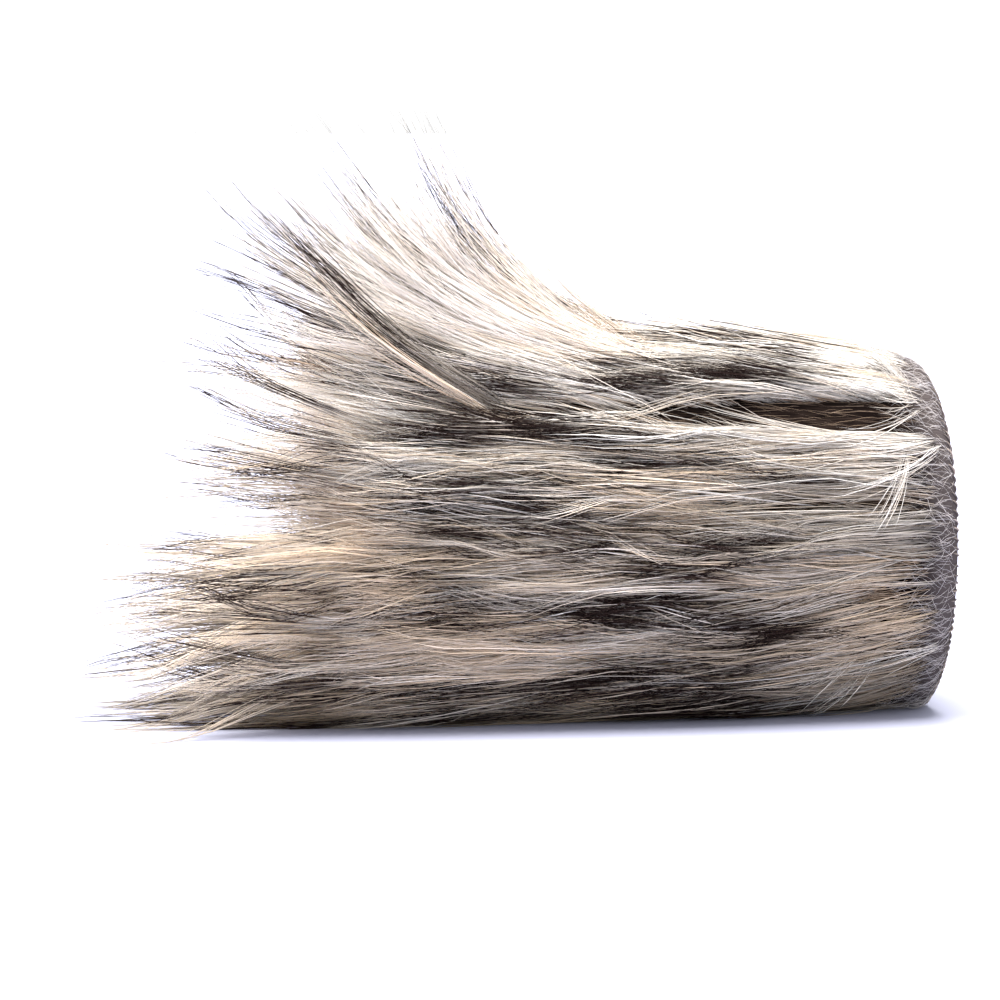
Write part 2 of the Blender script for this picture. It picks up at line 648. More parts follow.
def grow_locks(name, lock, hairs, kind, draw):
    """Makes the strands of locks. lock holds one value per lock for each argument of hair_paths and
    each tone, and kind the hair's sizes. Roots lie in a disc round the lock's own, off the seam."""
    each = {key: np.repeat(value, hairs) for key, value in lock.items()}
    total = len(each["x"])
    loosened = (("warm", 0.12), ("tip", 0.12), ("light", 0.13))
    tones = [each.pop(key) + loose * draw.normal(size=total) for key, loose in loosened]
    lock_length = each.pop("length")
    length = lock_length * (1 - 0.4 * draw.uniform(size=total) ** kind["even"])
    # some hairs near the nose are short, so fewer of them reach out over it
    room = each["x"] - FACE + kind["over"] * (0.3 + 1.4 * draw.uniform(size=total))
    reaching = each.pop("reaching") & (draw.uniform(size=total) < 0.8)
    short = ~reaching & (room < length)
    length = np.where(short, np.maximum(room, 12.0), length)
    tones[1] = np.where(short, 0.15, tones[1])
    each["height"] = each["height"] * (0.75 + 0.5 * draw.uniform(size=total))
    each["heading"] = each["heading"] + kind["loose"] * draw.normal(size=total)
    flying = kind["fly"] * np.abs(draw.normal(size=total)) ** 1.5
    each["rise"] = each["rise"] * (length / lock_length) ** 2 + flying
    paths = hair_paths(kind["points"], length=length, bow=kind["bow"], **each)
    lock_root = around(each["x"], each["turn"], bed_radius(each["x"]) - ROOT_DEPTH)
    reach = kind["lock"] * np.sqrt(draw.uniform(size=total))
    toward = draw.uniform(0, 2 * math.pi, size=total)
    root_x = np.clip(each["x"] + reach * np.cos(toward), FACE + 0.3, HEM - 0.15)
    root_turn, _ = part_at_seam(root_x, each["turn"] + reach * np.sin(toward) / SKIN_R)
    roots = around(root_x, root_turn, bed_radius(root_x) - ROOT_DEPTH)
    paths = gather(paths, roots, lock_root, kind["clump"], kind["fray"], draw)
    paths = rest_on_floor(keep_in(paths), kind["press"])
    width = kind["width"] * draw.uniform(0.75, 1.2, total)
    around_top = np.angle(np.exp(1j * (each["turn"] + math.pi / 2)))
    return make_strands(name, paths, width, tone_rows(draw, *tones), around_top, kind)


def sow(name, x, turn, hairs, kind, draw):
    """Grows locks of one kind at the places given, with the nap's own drift and chance."""
    locks = len(x)
    turn, parted = part_at_seam(x, turn)
    rise = tuft_rise(x, turn) * kind["rise"] * draw.uniform(0.5, 1.1, locks)
    toward_middle = kind["bundle"] * bundle(x, turn)[0] * SKIN_R / kind["length"]
    heading = 0.11 * drift(x, turn, 3, 70.0) + kind["stray"] * draw.normal(size=locks) + toward_middle
    heading = heading * (1 - 0.8 * np.abs(parted)) + kind["part"] * parted
    lock = dict(
        lock_tones(kind, x, turn, draw), x=x, turn=turn, heading=heading, rise=rise,
        bend=0.0011 * draw.normal(size=locks) - heading / kind["length"] * 0.35,
        height=kind["height"] * draw.uniform(kind["lowest"], 1.05, locks),
        wave=kind["wave"] * draw.normal(size=locks),
        phase=draw.uniform(size=locks) * 0.35 + drift(x, turn, 9, 60.0) * 0.3,
        arch=np.full(locks, 2.0),
        length=(kind["length"] * (1 + 0.12 * np.clip(draw.normal(size=locks), -2, 2))
                * (1 + 0.27 * ease(rise, 10, 25))),
        reaching=draw.uniform(size=locks) < kind["reach"] * (1 - 0.8 * np.clip(np.sin(turn), 0, 1)),
    )
    return grow_locks(name, lock, hairs, kind, draw)


def all_over(locks, draw):
    """Evenly scattered places on the sleeve, as x and turn."""
    return HEM - 0.2 - (HEM - FACE - 0.8) * draw.uniform(size=locks), draw.uniform(0, 2 * math.pi, size=locks)


# %% Grow the coat
# length, height and bow shape a hair, lock, clump and fray its lock, heading comes from bundle, stray
# and part, rise and fly lift it, reach and over let it pass the nose, and even spreads the lengths
GUARD = dict(
    even=2.0, length=66.0, height=8.0, lowest=0.65, bow=7.0, wave=1.7, lock=3.2, clump=0.93, fray=0.5,
    loose=0.015, bundle=0.75, stray=0.05, part=0.12, fly=1.0, width=0.19, press=1.2, tip=1.0, rise=0.5,
    reach=0.34, over=11.0, points=7, pale=0.0, paler=0.0, material=GUARD_HAIR,
)
UNDER = dict(
    GUARD, length=32.0, height=3.4, lowest=0.3, bow=6.0, wave=0.7, lock=3.6, clump=0.6, fray=0.9,
    loose=0.06, bundle=0.3, stray=0.08, part=0.2, fly=0.4, width=0.16, press=0.7, tip=0.3, rise=0.3,
    reach=0.2, over=6.0, points=4, material=UNDER_HAIR,
)
STRAY = dict(
    GUARD, length=45.0, height=10.0, lock=4.0, clump=0.3, fray=2.5, loose=0.10, bundle=0.0, stray=0.30,
    part=0.0, fly=3.0, width=0.15, rise=0.8,
)
SHOULDER = dict(GUARD, length=36.0, height=5.0, reach=9.0, points=6, paler=0.15)
TOP = dict(GUARD, height=10.5, lowest=0.85, tip=5.0, fray=0.35, reach=0.6, width=0.27)
CREST = dict(
    GUARD, length=71.0, fray=0.8, wave=1.4, width=0.22, rise=1.0, reach=9.0, pale=0.35, material=CREST_HAIR
)
COAT = (
    ("guard_hair", 1850, 13, GUARD), ("under_hair", 1800, 10, UNDER), ("top_hair", 330, 6, TOP),
    ("stray_hair", 110, 4, STRAY),
)
share = 1.0
draw = np.random.default_rng(475)
triangles = 0
for name, locks, hairs, kind in COAT:
    triangles += sow(name, *all_over(int(locks * share), draw), hairs, kind, draw)
edge_locks = int(230 * share)
edge_x = FACE + 1.0 + 27.0 * draw.uniform(size=edge_locks)
triangles += sow("shoulder_hair", edge_x, draw.uniform(0, 2 * math.pi, size=edge_locks), 8, SHOULDER, draw)
crest_locks = int(180 * share)
crest_x = HEM - 52 - 50 * draw.uniform(size=crest_locks)
crest_turn = CREST_TURN + math.radians(17) * draw.normal(size=crest_locks)
triangles += sow("crest_hair", crest_x, crest_turn, 14, CREST, draw)
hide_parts("crest_pile")

# %% [markdown]
# ## The brush at the nose
# The nose panel is a disc of the same fabric, so its hair stands straight out past the sleeve. The
# locks lean outwards with their distance from the middle, the upper ones curl up, and the lowest lie
# along the floor. Their pale middles are seen through one another, and their dark tips stand alone.

# %% Nose hair
def grow_nose(name, locks, hairs, kind, draw):
    """Locks rooted at radius R sqrt(chance) on the nose panel. A hair goes along -X by u cos(lean)
    and outwards by u sin(lean), where lean is 20 degrees times r/R and a little chance, and rises
    by rise s^1.7."""
    r = (SKIN_R - 0.5) * np.sqrt(draw.uniform(size=locks))
    turn = draw.uniform(0, 2 * math.pi, size=locks)
    turn = np.where((np.sin(turn) > 0) & (draw.uniform(size=locks) < 0.65), -turn, turn)
    lean = math.radians(20) * r / SKIN_R + math.radians(7) * draw.normal(size=locks)
    upper = np.clip(np.sin(turn), 0, 1) * r / SKIN_R
    rise = 22 * upper * draw.uniform(0.1, 1.1, locks) + 3.5 * draw.normal(size=locks)
    length = np.clip((57 - 11 * np.sin(turn)) * (1 + 0.2 * draw.normal(size=locks)), 22, 80)
    tones = lock_tones(kind, np.full(locks, FACE), turn, draw)
    rep = lambda value: np.repeat(value, hairs)
    total = locks * hairs
    s = np.linspace(0.0, 1.0, kind["points"])[None, :]
    own = kind["size"] * rep(length) * (1 - 0.5 * draw.uniform(size=total) ** 2)
    u = own[:, None] * s
    sway = (kind["wave"] * rep(draw.normal(size=locks)))[:, None]
    phase = rep(draw.uniform(size=locks))[:, None]
    swing = sway * np.sin(2 * math.pi * (u / 50.0 + phase)) * s
    radius = rep(r)[:, None] + u * np.sin(rep(lean))[:, None]
    forward = FACE + 1.0 - u * np.cos(rep(lean))[:, None]
    paths = around(forward, rep(turn)[:, None] + swing / 30.0, radius)
    paths[..., 2] += (rep(rise) * (own / rep(length)) ** 2)[:, None] * s**1.7
    toward = draw.uniform(0, 2 * math.pi, size=total)
    off = kind["lock"] * np.sqrt(draw.uniform(size=total))
    shift = np.stack([np.zeros(total), off * np.cos(toward), off * np.sin(toward)], -1)
    paths = gather(paths, shift, np.zeros_like(shift), kind["clump"], kind["fray"], draw)
    paths = rest_on_floor(keep_in(paths), kind["press"])
    mixed = [rep(tones[key]) + 0.12 * draw.normal(size=total) for key in ("warm", "tip", "light")]
    rows = tone_rows(draw, *mixed)
    return make_strands(name, paths, kind["width"] * draw.uniform(0.7, 1.1, total), rows, rep(turn), kind)


NOSE = dict(GUARD, material=CREST_HAIR, lock=4.5, clump=0.96, fray=0.6, size=1.0, width=0.21, paler=0.26)
NOSE_UNDER = dict(UNDER, material=CREST_HAIR, lock=4.0, clump=0.5, fray=1.2, size=0.45)
triangles += grow_nose("nose_hair", int(135 * share), 13, NOSE, draw)
triangles += grow_nose("nose_under", int(210 * share), 10, NOSE_UNDER, draw)
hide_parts("nose_pile")

# %% [markdown]
# ## Loose locks
# A brushed coat always has a few locks that go their own way. On this one, pale wisps hang over the
# hem's end of the parting, and long dark-tipped tufts curl up and forward from the shoulder of the
# nose. Each is one row of sizes.

# %% Grow the loose locks
LOOSE_SIZES = (
    "back", "degrees", "length", "heading", "bend", "rise", "arch", "height", "tip", "warm", "light",
)
LOOSE_LOCKS = np.array([
    # wisps at the hem: two over the end of the parting, one that hangs, and a low fan
    (2.0, 41, 40, -1.00, 0.0130, 0, 2.0, 9, 0.0, 0.1, 1.0),
    (5.0, 44, 34, -0.75, 0.0100, 0, 2.0, 9, 0.0, 0.1, 0.95),
    (12.0, 34, 16, -2.20, 0.0300, 0, 2.0, 9, 0.1, 0.2, 1.0),
    (1.5, -31, 30, 0.10, -0.0040, 0, 2.0, 8, 0.0, 0.1, 1.0),
    (20.0, -34, 20, -0.55, -0.0100, 0, 2.0, 9, 0.1, 0.2, 1.0),
    (24.0, -32, 24, -0.30, -0.0060, 0, 2.0, 9, 0.1, 0.2, 0.95),
    # the whorl beside the parting
    (8.0, 62, 16, 1.10, -0.0300, 0, 2.0, 6, 0.2, 0.1, 0.8),
    (8.0, 58, 18, 0.45, 0.0100, 0, 2.0, 7, 0.2, 0.1, 0.6),
    (7.0, 54, 16, -0.90, 0.0300, 0, 2.0, 7, 0.2, 0.1, 0.9),
    # tufts on the shoulder of the nose
    (108, 47, 80, 0.02, 0.0004, 44, 1.5, 12, 1.5, 0.5, 0.0),
    (109, 46, 76, 0.02, 0.0004, 42, 1.5, 12, 1.5, 0.5, 0.0),
    (111, 45, 72, 0.02, 0.0004, 39, 1.5, 12, 1.5, 0.5, 0.1),
    (113, 44, 70, 0.02, 0.0004, 36, 1.5, 12, 0.2, 0.7, 0.9),
    (128, 34, 78, 0.05, 0.0000, 24, 1.5, 9, 1.1, 0.3, 0.2),
    (120, 60, 88, 0.00, 0.0000, 40, 0.8, 9, 1.6, 0.1, 0.1),
    (122, 56, 84, 0.00, 0.0000, 33, 0.8, 9, 1.6, 0.1, 0.1),
    (128, 30, 78, 0.00, 0.0010, 12, 1.5, 9, 1.1, 0.3, 0.2),
    (132, 22, 74, 0.00, 0.0010, 5, 1.5, 9, 1.1, 0.3, 0.2),
    # the tallest locks of the crest
    (58, 92, 84, 0.00, 0.0000, 34, 1.7, 8, 1.5, 0.1, 0.1),
    (63, 90, 92, 0.00, 0.0000, 52, 1.8, 8, 1.5, 0.1, 0.1),
    (68, 88, 96, 0.00, 0.0000, 66, 1.9, 8, 1.5, 0.1, 0.1),
    (72, 86, 96, 0.00, 0.0000, 58, 1.9, 8, 1.5, 0.1, 0.1),
    (76, 84, 92, 0.00, 0.0000, 50, 1.9, 8, 1.5, 0.1, 0.2),
    (82, 82, 88, 0.00, 0.0000, 44, 1.9, 8, 1.2, 0.2, 0.4),
    # the furthest tips, low in front
    (136, -2, 80, 0.00, -0.0010, 0, 2.0, 7, 1.5, 0.2, 0.6),
    (137, -20, 78, 0.04, 0.0000, 2, 2.0, 7, 1.5, 0.2, 0.5),
    (138, -38, 80, 0.10, 0.0010, 6, 2.0, 6, 1.5, 0.2, 0.4),
    (140, -50, 78, 0.12, 0.0010, 8, 2.0, 5, 1.5, 0.2, 0.3),
])
loose = dict(zip(LOOSE_SIZES, LOOSE_LOCKS.T))
loose["x"] = HEM - loose.pop("back")
loose["turn"] = np.radians(loose.pop("degrees"))
loose["wave"] = 0.8 * draw.normal(size=len(LOOSE_LOCKS))
loose["phase"] = draw.uniform(size=len(LOOSE_LOCKS))
loose["reaching"] = np.full(len(LOOSE_LOCKS), True)
LOOSE = dict(GUARD, even=1.4, lock=1.5, fray=0.9, clump=0.90, loose=0.03, width=0.20)
WISP = dict(LOOSE, lock=2.0, fray=1.5, clump=0.75, loose=0.10, width=0.12)
WISPS = 9
for name, chosen, hairs, kind in (
    ("hem_wisps", slice(WISPS), 16, WISP), ("loose_locks", slice(WISPS, None), 22, LOOSE),
):
    triangles += grow_locks(name, {key: value[chosen] for key, value in loose.items()}, hairs, kind, draw)

# %% [markdown]
# ## Fuzz
# At the hem and in the parting the coat is thin, and short curly fibres show over the dark bed. At the
# hem they are pale, very fine and run every way. In the parting they are dark and follow the nap. A
# curl is a wave across the fibre's own direction.

# %% Fuzz paths
FUZZ_HAIR = hair_material(
    "fuzz_hair", root=(0.10, 0.08, 0.075), cool=(0.86, 0.82, 0.82), warm=(0.86, 0.76, 0.66),
    tip=(0.60, 0.55, 0.53), tip_starts=0.7, roughness=0.45,
)


def grow_fuzz(name, x, turn, length, height, swirl, width, material, draw):
    """Curly fibres. swirl is how far their heading strays from the nap, in radians."""
    count = len(x)
    way = swirl * draw.normal(size=count)
    s = np.linspace(0, 1, 6)[None, :]
    u = (length * draw.uniform(0.5, 1.2, count))[:, None] * s
    waves = s * draw.uniform(0.6, 1.6, count)[:, None]
    curl = 0.3 * np.sin(2 * math.pi * (waves + draw.uniform(size=count)[:, None]))
    curl = (curl - curl[:, :1]) * s**0.5
    lift = (height * draw.uniform(0.3, 1.2, count))[:, None] * np.sin(math.pi * np.minimum(s * 0.8, 1)) ** 0.8
    along = u * np.cos(way)[:, None] - curl * np.sin(way)[:, None]
    side = u * np.sin(way)[:, None] + curl * np.cos(way)[:, None]
    here = np.minimum(x[:, None] - along, HEM + 0.6)
    radius = bed_radius(here) - 0.5 + lift
    paths = rest_on_floor(around(here, turn[:, None] + side / SKIN_R, radius), 0.5)
    tones = [draw.uniform(low, high, count) for low, high in ((0, 0.6), (0, 0.5), (0.45, 1.0))]
    rows = tone_rows(draw, *tones)
    kind = dict(points=6, material=material)
    return make_strands(name, paths, width * draw.uniform(0.7, 1.2, count), rows, turn, kind)


# %% Grow the fuzz
rim_count = int(2100 * share)
rim_x = HEM - 13.0 * draw.uniform(size=rim_count) ** 1.6
rim_turn = draw.uniform(0, 2 * math.pi, rim_count)
triangles += grow_fuzz("rim_fuzz", rim_x, rim_turn, 7.5, 2.0, 0.5, 0.065, FUZZ_HAIR, draw)
part_count = int(140 * share)
part_x = HEM - 2 - 88 * draw.uniform(size=part_count)
part_turn = SEAM_TURN + math.radians(5.0) * draw.normal(size=part_count)
triangles += grow_fuzz("parting_fuzz", part_x, part_turn, 14.0, 1.6, 0.12, 0.06, UNDER_HAIR, draw)

# %% [markdown]
# ## Turned pieces
# Everything under the pile is round, so one function turns a lengthwise profile about the bore's
# axis. Cloth is a line with a thickness, and foam is an outline. Each gets a map in millimetres, so
# a knit has the right scale whatever the piece's size.

# %% Turn a profile
def turn_profile(profile, columns, ripple=None):
    """Turns a profile of (x, r) rows about the axis. A profile whose ends lie on the axis gets a point
    and a fan of triangles at each end. Any other is a closed line. ripple adds to the radius."""
    turn = np.linspace(0, 2 * math.pi, columns, endpoint=False)
    capped = profile[0, 1] < 1e-6 and profile[-1, 1] < 1e-6
    body = profile[1:-1] if capped else np.concatenate([profile, profile[:1]])
    radius = body[:, 1:] + (ripple(body[:, :1], turn[None, :]) if ripple else 0.0)
    points = around(body[:, :1], turn[None, :], radius)
    rows = len(body) if capped else len(body) - 1
    points = points[:rows].reshape(-1, 3)
    r, c = np.indices((len(body) - 1, columns))
    along = np.concatenate([[0], np.cumsum(np.hypot(*np.diff(body, axis=0).T))])
    step = 2 * math.pi * body[:, 1].mean() / columns
    square = ((0, 0), (1, 0), (1, 1), (0, 1))
    quad_map = np.stack([np.stack([(c + i) * step, along[r + j]], -1) for i, j in square], 2)
    faces, maps = ring_quads(len(body) - 1, rows, columns).tolist(), [quad_map.reshape(-1, 2)]
    if capped:
        for pole, ring, end in ((profile[0], 0, 0), (profile[-1], rows - 1, 1)):
            centre = len(points)
            points = np.concatenate([points, [[pole[0], 0.0, 0.0]]])
            around_ring = np.arange(columns)
            pair = [ring * columns + (around_ring + 1) % columns, ring * columns + around_ring]
            fan = np.stack([np.full(columns, centre)] + (pair if end == 0 else pair[::-1]), -1)
            faces += fan.tolist()
            offsets = np.array([0.5, 1.0, 0.0] if end == 0 else [0.5, 0.0, 1.0])
            steps = around_ring[:, None] * step + offsets * step
            height = np.array([0.0, 1.0, 1.0]) * body[ring, 1]
            maps.append(np.stack([steps, np.broadcast_to(height, steps.shape)], -1).reshape(-1, 2))
    return points, faces, np.concatenate(maps)


def thick_line(line, wall):
    """The outline of a line of (x, r) rows with a thickness: the line moved out by half the wall, then
    back along the line moved in. Both are moved along the line's own normal."""
    tangent = np.gradient(line, axis=0)
    tangent /= np.hypot(*tangent.T)[:, None]
    normal = np.stack([-tangent[:, 1], tangent[:, 0]], -1)
    return np.concatenate([line + normal * wall / 2, (line - normal * wall / 2)[::-1]])


def turned_piece(name, profile, material, body, columns=96, ripple=None):
    """A piece from a turned profile, with its map in millimetres."""
    points, faces, cloth_map = turn_profile(profile, columns, ripple)
    piece = mesh_piece(name, points, faces, material, body)
    layer = piece.data.uv_layers.new(name="cloth")
    layer.data.foreach_set("uv", cloth_map.ravel().astype(np.float32))
    work = bmesh.new()
    work.from_mesh(piece.data)
    bmesh.ops.recalc_face_normals(work, faces=work.faces)
    work.to_mesh(piece.data)
    work.free()
    print(f"{name}: {len(faces)} faces")
    return piece


# %% [markdown]
# ## Cloth finishes
# Knits, tapes and elastic all show rows of small loops or ribs. One node group makes them all: rows
# across, each a wave along, slanted from the row's edges to its middle. Slant 0 gives ribs, a half
# gives the V of a knit and 1 gives herringbone tape.

# %% Thread relief group
def thread_relief_group():
    """Height of threads at a place on the map. With x and y in rows and loops, and a the distance from
    the row's middle, height is (1/2 + cos(2 pi (y + slant a))/2) times the root of sin(pi x)."""
    group = bpy.data.node_groups.new("thread_relief", "ShaderNodeTree")
    face = group.interface
    face.new_socket("Map", in_out="INPUT", socket_type="NodeSocketVector")
    for name in ("Row", "Loop", "Slant"):
        face.new_socket(name, in_out="INPUT", socket_type="NodeSocketFloat")
    for name in ("Height", "Fluff"):
        face.new_socket(name, in_out="OUTPUT", socket_type="NodeSocketFloat")
    given = group.nodes.new("NodeGroupInput").outputs
    parts = group.nodes.new("ShaderNodeSeparateXYZ")
    group.links.new(given["Map"], parts.inputs[0])
    x = math_node(group, "FRACT", math_node(group, "DIVIDE", parts.outputs["X"], given["Row"]))
    y = math_node(group, "DIVIDE", parts.outputs["Y"], given["Loop"])
    off = math_node(group, "ABSOLUTE", math_node(group, "SUBTRACT", x, 0.5))
    off = math_node(group, "MULTIPLY", off, 2.0)
    phase = math_node(group, "ADD", y, math_node(group, "MULTIPLY", off, given["Slant"]))
    wave = math_node(group, "COSINE", math_node(group, "MULTIPLY", phase, 2 * math.pi))
    raised = math_node(group, "MULTIPLY", math_node(group, "ADD", wave, 1.0), 0.5)
    ridge = math_node(group, "POWER", math_node(group, "SINE", math_node(group, "MULTIPLY", x, math.pi)), 0.5)
    fluff = texture_node(group, "TexNoise", given["Map"], Scale=1.4, Detail=5.0)["Fac"]
    out = group.nodes.new("NodeGroupOutput")
    group.links.new(math_node(group, "MULTIPLY", raised, ridge), out.inputs["Height"])
    group.links.new(fluff, out.inputs["Fluff"])
    return group


THREAD_RELIEF = thread_relief_group()


# %% Cloth materials
def cloth_material(name, low, high, row, loop, slant, roughness, depth):
    """Cloth with dark gaps and lighter threads. row and loop are in millimetres, depth in metres."""
    material, tree, shader = new_material(name, roughness)
    shader.inputs["Sheen Weight"].default_value = 0.25
    place = tree.nodes.new("ShaderNodeUVMap")
    place.uv_map = "cloth"
    relief = tree.nodes.new("ShaderNodeGroup")
    relief.node_tree = THREAD_RELIEF
    tree.links.new(place.outputs["UV"], relief.inputs["Map"])
    for socket, value in (("Row", row), ("Loop", loop), ("Slant", slant)):
        relief.inputs[socket].default_value = value
    threads = ramp_between(tree, relief.outputs["Height"], 0.05, 0.75)
    fluff = relief.outputs["Fluff"]
    worn = math_node(tree, "MULTIPLY", threads, math_node(tree, "ADD", fluff, 0.45), clamp=True)
    tree.links.new(mix_colours(tree, worn, (*low, 1.0), (*high, 1.0)), shader.inputs["Base Color"])
    height = math_node(tree, "ADD", relief.outputs["Height"], math_node(tree, "MULTIPLY", fluff, 0.5))
    add_bump(tree, shader, height, depth, 0.8)
    return material


CLOTH = {name: cloth_material(name, *finish) for name, *finish in (
    ("backing_knit", (0.030, 0.022, 0.020), (0.16, 0.125, 0.11), 1.6, 1.1, 0.5, 0.9, 0.0004),
    ("lining_knit", (0.005, 0.005, 0.006), (0.030, 0.030, 0.032), 2.4, 1.8, 0.5, 0.85, 0.0005),
    ("hem_tape", (0.004, 0.004, 0.004), (0.026, 0.024, 0.023), 3.0, 0.9, 1.0, 0.7, 0.0002),
    ("elastic", (0.012, 0.011, 0.011), (0.070, 0.066, 0.064), 0.7, 1.3, 0.0, 0.6, 0.0003),
    ("scrim", (0.008, 0.008, 0.008), (0.050, 0.050, 0.052), 0.9, 0.9, 0.0, 0.8, 0.0002),
    ("mesh_knit", (0.003, 0.003, 0.0035), (0.030, 0.030, 0.033), 1.9, 2.2, 0.5, 0.6, 0.0005),
)}

# %% [markdown]
# ## Foam
# The core is open-celled foam: a rigid sponge whose cut skin is a field of small pits. The body is a
# plain tube cut on a lathe-like saw and the nose a plug with a soft round edge. Their surfaces
# wander by a fraction of a millimetre, as cut foam does.

# %% Foam finish
def foam_material():
    """Pits of a Voronoi pattern, darker at their bottoms and shaded in patches by noise."""
    material, tree, shader = new_material("foam", 0.95)
    place = object_place(tree)
    pits = texture_node(tree, "TexVoronoi", place, Scale=1100.0)["Distance"]
    patches = texture_node(tree, "TexNoise", place, Scale=120.0)["Fac"]
    walls = ramp_between(tree, pits, 0.15, 0.65)
    shade = math_node(tree, "MULTIPLY", walls, math_node(tree, "ADD", patches, 0.4), clamp=True)
    colour = mix_colours(tree, shade, (0.003, 0.003, 0.0035, 1.0), (0.030, 0.030, 0.032, 1.0))
    tree.links.new(colour, shader.inputs["Base Color"])
    add_bump(tree, shader, walls, 0.0005)
    return material


FOAM = foam_material()

# %% Foam pieces
def node_tube(node):
    """A round node's front x, rear x and outer radius, in millimetres."""
    low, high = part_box(node)
    return low[0] / MM, high[0] / MM, high[1] / MM


def foam_wander(x, turn):
    """Up to 0.12 mm inwards, in slow waves."""
    return -0.06 - 0.06 * np.sin(x / 6.0 + 3 * turn) * np.cos(x / 11.0 - 2 * turn)


def rounded(corners, radius, steps=5):
    """A closed outline of (x, r) corners, each cut round: points of the quadratic Bezier curve from
    radius before a corner, by way of the corner, to radius after it."""
    corners = np.asarray(corners, float)
    before, after = np.roll(corners, 1, axis=0), np.roll(corners, -1, axis=0)
    start = corners + radius * (before - corners) / np.linalg.norm(before - corners, axis=1, keepdims=True)
    end = corners + radius * (after - corners) / np.linalg.norm(after - corners, axis=1, keepdims=True)
    t = np.linspace(0, 1, steps)[None, :, None]
    curve = (1 - t) ** 2 * start[:, None] + 2 * t * (1 - t) * corners[:, None] + t**2 * end[:, None]
    return curve.reshape(-1, 2)


foam_front, foam_rear, foam_r = node_tube("foam_body")
liner_front, liner_rear, slot_r = node_tube("cavity_liner")
clamp_front, _, clamp_r = node_tube("boot_clamp_ring")
nose_front, nose_rear, _ = node_tube("foam_nose")
CLEAR = 0.2
TRIM = 0.05
cut_r = foam_r - TRIM
outline = [
    (foam_rear, clamp_r + CLEAR), (clamp_front - CLEAR, clamp_r + CLEAR), (clamp_front - CLEAR, slot_r),
    (foam_front, slot_r), (foam_front, cut_r), (foam_rear, cut_r),
]
outline = rounded(outline, 0.7)
foam_body_piece = turned_piece("foam_body_cut", outline, FOAM, "core", 128, foam_wander)
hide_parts("foam_body")
dome_turn = np.linspace(0, math.pi / 2, 12)
DOME_R = 14.0
dome_x = nose_front + DOME_R - DOME_R * np.sin(dome_turn)
dome = np.stack([dome_x, cut_r - DOME_R + DOME_R * np.cos(dome_turn)], -1)
plug_r = slot_r - CLEAR
nose_line = np.concatenate([
    [[nose_rear, 0.0], [nose_rear, plug_r * 0.5], [nose_rear, plug_r - 0.8], [nose_rear - 0.8, plug_r],
     [foam_front, plug_r], [foam_front - TRIM, plug_r + 0.3], [foam_front - TRIM, foam_r - 0.6],
     [foam_front - 0.6, cut_r]], dome, [[nose_front, 12.0], [nose_front, 0.0]],
])
foam_nose_piece = turned_piece("foam_nose_cut", nose_line, FOAM, "core", 128)
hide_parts("foam_nose")

# %% [markdown]
# ## Cloth under the pile
# A fine mesh sock is stretched over the foam so that the cover slides on and off. The cover is a tube
# of spacer knit inside a tube of the pile's own knitted backing, each closed by a round panel. Its
# hem is a folded tape, gathered a little by a band of elastic inside it. The elastic is a strap
# nine millimetres wide, so it is a piece but not a declared sheet.

# %% Cloth pieces
def cloth_piece(name, node, line, wall, slot, body, columns=96, ripple=None):
    """A sheet made from a line of (x, r) rows and declared with the flat size of its cut. Its material
    is the cloth of its slot's name."""
    profile = thick_line(np.asarray(line, float), wall)
    if profile[0, 1] < 0.5:
        profile[0, 1] = profile[-1, 1] = 0.0
    piece = turned_piece(name, profile, CLOTH[slot], body, columns, ripple)
    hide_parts(node)
    return piece


def tube_line(front, rear, radius, steps):
    """A straight line along the sleeve."""
    return np.stack([np.linspace(front, rear, steps), np.full(steps, radius)], -1)


def sock_pull(x, turn):
    """The sock's shallow waves, where it pulls round the foam: 0.05 mm."""
    return 0.05 * np.sin(9 * turn + x / 9.0)


PUCKERS = 44
HEM_COLUMNS = 192


def hem_gather(x, turn):
    """The elastic's puckers: 0.12 mm, PUCKERS of them round the hem, fading 12 mm from it. A piece with
    them has HEM_COLUMNS columns, over four to a pucker."""
    return 0.12 * np.sin(PUCKERS * turn) * ease(x, HEM - 14, HEM - 2)


sock_front, sock_rear, sock_r = node_tube("mesh_sock")
lining_front, lining_rear, backing_r = node_tube("cover_lining")
panel_front, panel_rear, _ = node_tube("nose_lining")
face_front, face_rear, _ = node_tube("nose_backing")
side_front, side_rear, _ = node_tube("side_backing")
elastic_front, elastic_rear, elastic_r = node_tube("hem_elastic")
tape_front, tape_rear, tape_r = node_tube("hem_tape")
TAPE_WALL = tape_r - elastic_r
SLIP = 0.4
lining_r = sock_r + SLIP
LINING_WALL = backing_r - lining_r
cloth_piece("mesh_sock_knit", "mesh_sock", tube_line(sock_front, sock_rear, foam_r + 0.27, 60), 0.34,
            "mesh_knit", "core",
            ripple=sock_pull)
cloth_piece("cavity_scrim", "cavity_liner", tube_line(liner_front, liner_rear, slot_r - 0.35, 30), 0.6,
            "scrim", "core")
lining_middle = lining_r + LINING_WALL / 2
cloth_piece("lining_sleeve", "cover_lining", tube_line(lining_front, lining_rear, lining_middle, 60),
            LINING_WALL - 0.15, "lining_knit", "fur_cover")
backing_middle = (backing_r + SKIN_R) / 2
cloth_piece("backing_sleeve", "side_backing", tube_line(side_front, side_rear, backing_middle, 70),
            SKIN_R - backing_r - 0.1, "backing_knit", "fur_cover",
            columns=HEM_COLUMNS, ripple=lambda x, turn: 0.4 * hem_gather(x, turn))
